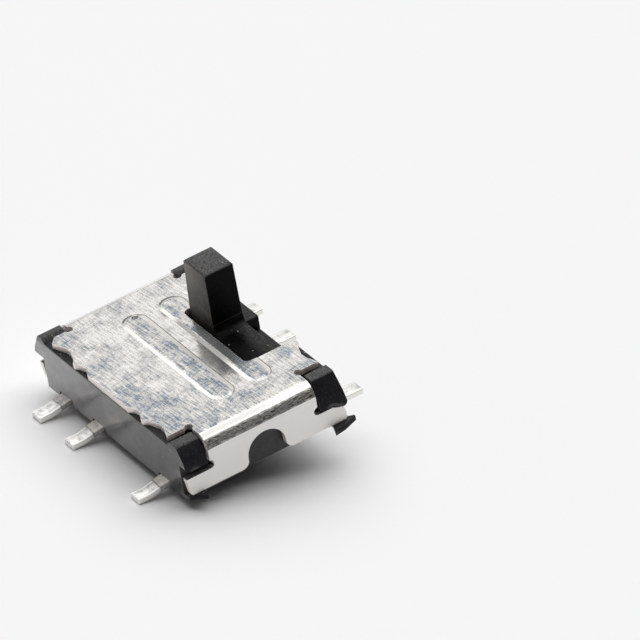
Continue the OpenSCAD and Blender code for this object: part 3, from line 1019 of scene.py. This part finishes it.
@dataclass(frozen=True)
class PlatedPin:
    """Tinned strip: matt and grey by the wall, brighter with a solder-like rim towards the foot."""

    name: str
    bright: Colour = (0.84, 0.83, 0.805)
    dull: Colour = (0.62, 0.595, 0.55)
    stained: Colour = (0.2, 0.22, 0.27)
    roughness: float = 0.33
    stain_roughness: float = 0.45
    matt_roughness: float = 0.55
    matt: float = 1.0
    tin_from: float = 2.58
    tin_edge: Step = Step(-0.015, 0.015)
    wander_scale: float = 5.0
    wander: float = 0.12
    pitch: float = 1.5
    rim: Step = Step(0.15, 0.18)
    rim_wander: float = 0.4
    rim_depth: float = 0.008
    drawn: Streaks = Streaks(14.0, 4.0, 0.5, (0.0, 0.0, 90.0))
    drawn_part: float = 0.2
    stain_scale: float = 5.0
    stain_share: float = 0.72
    stain_crackle: float = 0.5
    stain_part: float = 0.7
    grain: float = 14.0
    grain_softness: float = 0.2
    grain_depth: float = 0.002

    def tinned_part(self, finish: Finish) -> tuple[Socket, Socket]:
        """The dipped part of the strip, with a wandering edge and a raised rim.

        Args:
            finish: The material under construction.

        Returns:
            The masks of the dipped part and of its rim.
        """
        bench = finish.bench
        wander = bench.product(bench.noise(finish.place, self.wander_scale), self.wander)
        out = bench.total(finish.read(Gauge.OUTWARD), wander)
        tinned = bench.ranged(bench.maths("SUBTRACT", out, self.tin_from), self.tin_edge)
        half = self.pitch / 2
        along_row = bench.total(finish.read(Gauge.X), half)
        across = bench.maths("ABSOLUTE", bench.maths("WRAP", along_row, half, -half))
        rim = bench.ranged(
            bench.total(across, bench.product(wander, self.rim_wander)), self.rim,
        )
        return tinned, bench.product(rim, tinned)

    def build(self, effects: EffectLibrary) -> Material:
        """Makes the material.

        Args:
            effects: The shared effects.

        Returns:
            The material.
        """
        finish = Finish(self.name)
        bench, place = finish.bench, finish.place
        tinned, rim = self.tinned_part(finish)
        drawn = finish.streaked(effects, self.drawn)["Mask"]
        stain = bench.group(
            effects.blotches, Vector=place, Scale=self.stain_scale, Share=self.stain_share,
            Crackle=self.stain_crackle,
        )["Mask"]
        stain = bench.product(stain, bench.maths("SUBTRACT", 1.0, rim))
        grain = bench.group(
            effects.grain, Vector=place, Scale=self.grain, Softness=self.grain_softness,
        )
        matt = bench.product(bench.maths("SUBTRACT", 1.0, tinned), self.matt)
        shade = bench.layered(
            self.bright,
            (matt, self.dull),
            (bench.product(stain, self.stain_part), self.stained),
            (bench.product(drawn, self.drawn_part), self.dull),
        )
        rough = bench.vary(stain, self.roughness, self.stain_roughness)
        rough = bench.vary(matt, rough, self.matt_roughness)
        normal = finish.relief(bench.total(rim, tinned), self.rim_depth)
        normal = finish.relief(grain["Height"], self.grain_depth, normal)
        finish.set(Base_Color=shade, Roughness=rough, Normal=normal, Metallic=1.0)
        return finish.material


# ---------------- pieces


def put_in_scene(name: str, form: Form, materials: list[Material]) -> Piece:
    """Makes a finished mesh an object of the scene, and frees the form.

    Args:
        name: The object's name.
        form: Its shape.
        materials: Its finishes, in slot order.

    Returns:
        The object, at the origin.
    """
    mesh = bpy.data.meshes.new(name)
    form.to_mesh(mesh)
    form.free()
    for material in materials:
        mesh.materials.append(material)
    piece = bpy.data.objects.new(name, mesh)
    bpy.context.scene.collection.objects.link(piece)
    return piece


@dataclass
class FramePiece:
    """A piece whose shape is a CAD node's, with its corners eased.

    The eased copy stands for the node; the node itself stays as packed. Angles are in degrees.
    """

    node: str
    body: Body
    slot: Slot
    ease: float = 0.018 * MM
    corner: float = 30.0
    steps: int = 2
    flat: float = 0.6
    weld: float = 0.0002 * MM
    flat_weight: int = 100

    def merged(self) -> Form:
        """The node's faces joined up, with flat areas made whole.

        Returns:
            The mesh, to be freed by the caller.
        """
        form = bmesh.new()
        form.from_mesh(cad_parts[self.node].data)
        bmesh.ops.remove_doubles(form, verts=form.verts, dist=self.weld)
        bmesh.ops.dissolve_limit(
            form, angle_limit=math.radians(self.flat), use_dissolve_boundaries=False,
            verts=form.verts, edges=form.edges, delimit=set(),
        )
        return form

    @staticmethod
    def rounded(
        form: Form, edges: list[bmesh.types.BMEdge], by: float, steps: int,
    ) -> list[bmesh.types.BMFace]:
        """Rounds some edges off.

        Args:
            form: The mesh to change.
            edges: The edges.
            by: How far the round reaches from each.
            steps: Facets across it.

        Returns:
            The new faces.
        """
        return bmesh.ops.bevel(
            form, geom=edges, offset=by, offset_type="OFFSET", affect="EDGES", segments=steps,
            profile=0.5, material=-1, clamp_overlap=True,
        )["faces"]

    def eased(self, form: Form) -> None:
        """Rounds every sharp corner by the same small amount.

        Args:
            form: The mesh to change.
        """
        sharp = math.radians(self.corner)
        corners = [
            edge for edge in form.edges
            if len(edge.link_faces) == 2 and edge.calc_face_angle(0.0) > sharp
        ]
        self.rounded(form, corners, self.ease, self.steps)

    def dress(self, form: Form) -> None:
        """Marks faces for finishes other than the first; plain pieces have one.

        Args:
            form: The mesh to mark.
        """

    def build(self, materials: list[Material]) -> Piece:
        """Makes the piece, puts it on its body and hides the node.

        Args:
            materials: The finishes, in slot order.

        Returns:
            The piece.
        """
        form = self.merged()
        self.dress(form)
        self.eased(form)
        for face in form.faces:
            face.smooth = True
        piece = put_in_scene(self.node + "_eased", form, materials)
        weighted = piece.modifiers.new("flat_faces", "WEIGHTED_NORMAL")
        weighted.weight = self.flat_weight
        weighted.keep_sharp = True
        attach(piece, self.body.value)
        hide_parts(self.node)
        return piece


@dataclass
class CoverPiece(FramePiece):
    """The bent cover, whose cut edges have a finish of their own.

    A facing is a share of the normal along one axis, up to 1.
    """

    sheet: float = 0.15 * MM
    roll: float = 0.06 * MM
    roll_steps: int = 3
    level_facing: float = 0.99
    wall_facing: float = 0.1
    cut_facing: float = 0.35
    bend_sheets: float = 2.2
    top_sheets: float = 1.3

    def is_top_edge(self, edge: bmesh.types.BMEdge, top: float) -> bool:
        """Whether an edge is where the level top meets a cut wall.

        Args:
            edge: The edge.
            top: The height that it has to be above.

        Returns:
            Whether it is.
        """
        if len(edge.link_faces) != 2 or min(vert.co.z for vert in edge.verts) <= top:
            return False
        facings = [face.normal.z for face in edge.link_faces]
        return max(facings) > self.level_facing and abs(min(facings)) < self.wall_facing

    def eased(self, form: Form) -> None:
        """Rolls the sheared top edges over first, then rounds the rest.

        Args:
            form: The mesh to change.
        """
        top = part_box(self.node)[1].z - self.sheet
        sheared = [edge for edge in form.edges if self.is_top_edge(edge, top)]
        for face in self.rounded(form, sheared, self.roll, self.roll_steps):
            face.material_index = SheetFace.CUT.value
        super().eased(form)

    def dress(self, form: Form) -> None:
        """Gives the sheared edges the second finish.

        Args:
            form: The mesh to mark.
        """
        _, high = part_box(self.node)
        flange = high.x - self.sheet * self.bend_sheets
        for face in form.faces:
            middle, facing = face.calc_center_median(), face.normal
            if abs(middle.x) < flange:
                near_top = middle.z > high.z - self.sheet * self.top_sheets
                cut = abs(facing.z) < self.cut_facing and near_top
            else:
                cut = abs(facing.x) < self.cut_facing and facing.z < self.cut_facing
            face.material_index = (SheetFace.CUT if cut else SheetFace.TIN).value


# ---------------- studio


@dataclass
class Studio:
    """Pale floor, one large soft light, pale surroundings and the camera.

    Glossy surfaces mirror a disc of light about the overhead direction, and matt ones are lit
    by a softer disc about the key's. The discs' edges are cosines, and angles are in degrees.
    """

    floor_colour: Colour = (0.97, 0.97, 0.975)
    floor_lift: float = 1.01
    floor_cloud: float = 0.05
    floor_roughness: float = 0.85
    floor_half: float = 1.5
    floor_gap: float = 0.002 * MM
    peg_contact: float = -0.275 * MM
    overhead: Triple = (0.0, 0.167, 0.986)
    light: Step = Step(0.9, 0.97, 1.5, 1.08)
    light_edge: Step = Step(0.63, 0.67)
    key_from: Triple = (-0.3, 0.4, 0.866)
    key_edge: Step = Step(0.6, 0.8)
    key: float = 1.88
    fill: float = 0.2
    room_from: Triple = (0.86, 0.5, 0.0)
    room: Step = Step(0.0, 0.5, 0.85, 0.12)
    white: float = 1.0
    azimuth: float = 62.88
    elevation: float = 35.11
    lean: float = 9.96
    aim: Vector = field(default_factory=lambda: Vector((-0.722, 4.095, 0.0)) * MM)
    reach: float = 341.1 * MM
    lens: float = 792.6
    sensor: float = 36.0
    clip: tuple[float, float] = (0.01, 10.0)

    def place_camera(self) -> None:
        """Puts the camera round the aim point, leaning with the tipped object."""
        across, up = math.radians(self.azimuth), math.radians(self.elevation)
        flat = math.cos(up)
        back = Vector((math.sin(across) * flat, -math.cos(across) * flat, math.sin(up)))
        right = Vector((math.cos(across), math.sin(across), 0.0))
        right.rotate(Matrix.Rotation(math.radians(-self.lean), 3, back).to_quaternion())
        turn = Matrix((right, back.cross(right), back)).transposed()
        lens = bpy.data.cameras.new("camera")
        lens.lens, lens.sensor_width = self.lens, self.sensor
        lens.clip_start, lens.clip_end = self.clip
        camera = bpy.data.objects.new("camera", lens)
        camera.matrix_world = Matrix.Translation(self.aim + back * self.reach) @ turn.to_4x4()
        bpy.context.scene.collection.objects.link(camera)
        bpy.context.scene.camera = camera

    def rest_plane(self) -> tuple[Vector, Vector]:
        """The plane the tipped switch rests on: the pegs' tips and the near row of terminals.

        Returns:
            A point on the plane and its upward normal.
        """
        base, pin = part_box("housing"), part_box("terminal_left_1")
        peg_side = Vector((0.0, self.peg_contact, base[0].z))
        pin_tip = Vector((0.0, pin[0].y, pin[0].z))
        inward = (peg_side - pin_tip).normalized()
        return peg_side, Vector((1.0, 0.0, 0.0)).cross(inward).normalized()

    def lay_floor(self) -> None:
        """A wide pale floor under the switch, clear from below."""
        point, normal = self.rest_plane()
        form = bmesh.new()
        bmesh.ops.create_grid(form, x_segments=1, y_segments=1, size=self.floor_half)
        turn = Vector((0.0, 0.0, 1.0)).rotation_difference(normal)
        laid = Matrix.Translation(point - normal * self.floor_gap) @ turn.to_matrix().to_4x4()
        bmesh.ops.transform(form, matrix=laid, verts=form.verts)
        floor = put_in_scene("floor", form, [self.floor_material()])

    def floor_material(self) -> Material:
        """Matt board, see-through from its back.

        Returns:
            The material.
        """
        finish = Finish("floor_board")
        bench = finish.bench
        lifted = tuple(part * self.floor_lift for part in self.floor_colour)
        cloud = bench.noise(finish.place, self.floor_cloud)
        shade = bench.blend(cloud, self.floor_colour, lifted)
        finish.set(Base_Color=shade, Roughness=self.floor_roughness)
        clear = bench.add("ShaderNodeBsdfTransparent").outputs[0]
        back = bench.add("ShaderNodeNewGeometry").outputs["Backfacing"]
        sides = {0: back, 1: finish.shader.outputs[0], 2: clear}
        mixed = bench.add("ShaderNodeMixShader", sides).outputs[0]
        bench.feed(finish.out.inputs["Surface"], mixed)
        return finish.material

    def light_world(self) -> None:
        """A large soft light, pale surroundings and a darker side of the room; white to the eye."""
        world = bpy.data.worlds.new("surroundings")
        bpy.context.scene.world = world
        world.use_nodes = True
        world.node_tree.nodes.clear()
        bench = NodeBench(world.node_tree)
        direction = bench.add("ShaderNodeTexCoord").outputs["Generated"]
        upward = bench.compared("DOT_PRODUCT", direction, self.overhead)
        keyed = bench.compared("DOT_PRODUCT", direction, self.key_from)
        aside = bench.compared("DOT_PRODUCT", direction, self.room_from)
        room = bench.ranged(aside, self.room)
        lamp = bench.ranged(upward, self.light)
        mirrored = bench.vary(bench.ranged(upward, self.light_edge), room, lamp)
        filled = bench.product(room, self.fill)
        falling = bench.vary(bench.ranged(keyed, self.key_edge), filled, self.key)
        path = bench.add("ShaderNodeLightPath").outputs
        lit = bench.vary(path["Is Glossy Ray"], falling, mirrored)
        seen = bench.largest(path["Is Camera Ray"], path["Is Transmission Ray"])
        strength = bench.vary(seen, lit, self.white)
        colours = {"Color": (1.0, 1.0, 1.0, 1.0), "Strength": strength}
        shown = bench.add("ShaderNodeBackground", colours).outputs[0]
        bench.add("ShaderNodeOutputWorld", {"Surface": shown})

    def build(self) -> None:
        """Sets up the whole studio."""
        self.place_camera()
        self.lay_floor()
        self.light_world()
        bpy.context.scene.view_settings.view_transform = "Standard"


# ---------------- the switch


@dataclass
class SlideSwitch:
    """The whole switch: base, cover, slider, contact clips and terminals."""

    effects: EffectLibrary = field(default_factory=EffectLibrary)

    def build_base(self) -> list[Piece]:
        """The moulded base and its sheet cover.

        Returns:
            The two pieces.
        """
        plastic = MouldedPlastic("black_housing_plastic").build(self.effects)
        housing = FramePiece("housing", Body.BASE, Slot.HOUSING, corner=15.0)
        tin = BentTin("tinned_cover_sheet").build(self.effects)
        cut = ShearedSteel("cover_cut_edge").build(self.effects)
        cover = CoverPiece("cover", Body.BASE, Slot.SHEET, ease=0.012 * MM, corner=8.1)
        return [housing.build([plastic]), cover.build([tin, cut])]

    def build_slider(self) -> list[Piece]:
        """The slider with its lever, and the clips under it.

        Returns:
            The slider, then the clips.
        """
        plastic = MouldedPlastic(
            "black_slider_plastic",
            colour=(0.0015, 0.0015, 0.0015),
            mottle=(0.006, 0.0055, 0.005),
            # painted sheen on the lever's sides, stronger towards the -X end and towards the top
            painted_sheen=(0.26, 0.248, 0.228),
            roughness=0.3,
            index=1.13,
            gloss=0.0,
            painted_sheen_share=1.0,
            painted_sheen_on=(
                (
                    SIDES,
                    (Gauge.X, Step(-0.2, -1.3, 0.35, 1.0)),
                    (Gauge.Z, Step(1.5, 2.8, 0.4, 1.0)),
                ),
            ),
            # painted light growing with height, and away from the lever, so that the plate beside
            # it stays dark as painted shade
            painted_light_on=(
                ((Gauge.Z, Step(1.34, 2.4, 0.03, 1.0)),),
                ((Gauge.Y, Step(1.3, 1.85, 0.0, 0.45)),),
            ),
            top_wear_and_light=0.64,
            # draw lines made stronger, a painted sheen on the lever's sides
            drawn=0.12,
            # edge wear with painted highlights on the lever's edges
            edge_wear_and_highlight=0.4,
            dusty=0.03,
        ).build(self.effects)
        alloy = PlatedPin(
            "contact_clip_alloy", bright=(0.72, 0.56, 0.3), dull=(0.4, 0.28, 0.12), matt=0.0,
        ).build(self.effects)
        slider = FramePiece("slider", Body.SLIDER, Slot.SLIDER, ease=0.045 * MM, steps=3)
        clips = [
            FramePiece(node, Body.SLIDER, Slot.CONTACT, ease=0.008 * MM)
            for node in sorted(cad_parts) if "clip" in node
        ]
        return [slider.build([plastic]), *(clip.build([alloy]) for clip in clips)]

    def build_terminals(self) -> list[Piece]:
        """The six flat terminals.

        Returns:
            The terminals, in the order of their names.
        """
        tinned = PlatedPin("tinned_terminal_strip").build(self.effects)
        return [
            FramePiece(node, Body.BASE, Slot.TERMINAL, ease=0.02 * MM).build([tinned])
            for node in sorted(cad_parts) if node.startswith("terminal_")
        ]

    def build(self) -> list[Piece]:
        """Builds every sub-assembly.

        Returns:
            All the pieces.
        """
        return self.build_base() + self.build_slider() + self.build_terminals()


def main() -> None:
    """Builds the studio and the switch, and reports each piece's face count."""
    logging.basicConfig(level=logging.INFO, format="%(name)s: %(message)s")
    Studio().build()
    for piece in SlideSwitch().build():
        LOG.info("%s: %d faces", piece.name, len(piece.data.polygons))


if __name__ == "__main__":
    main()
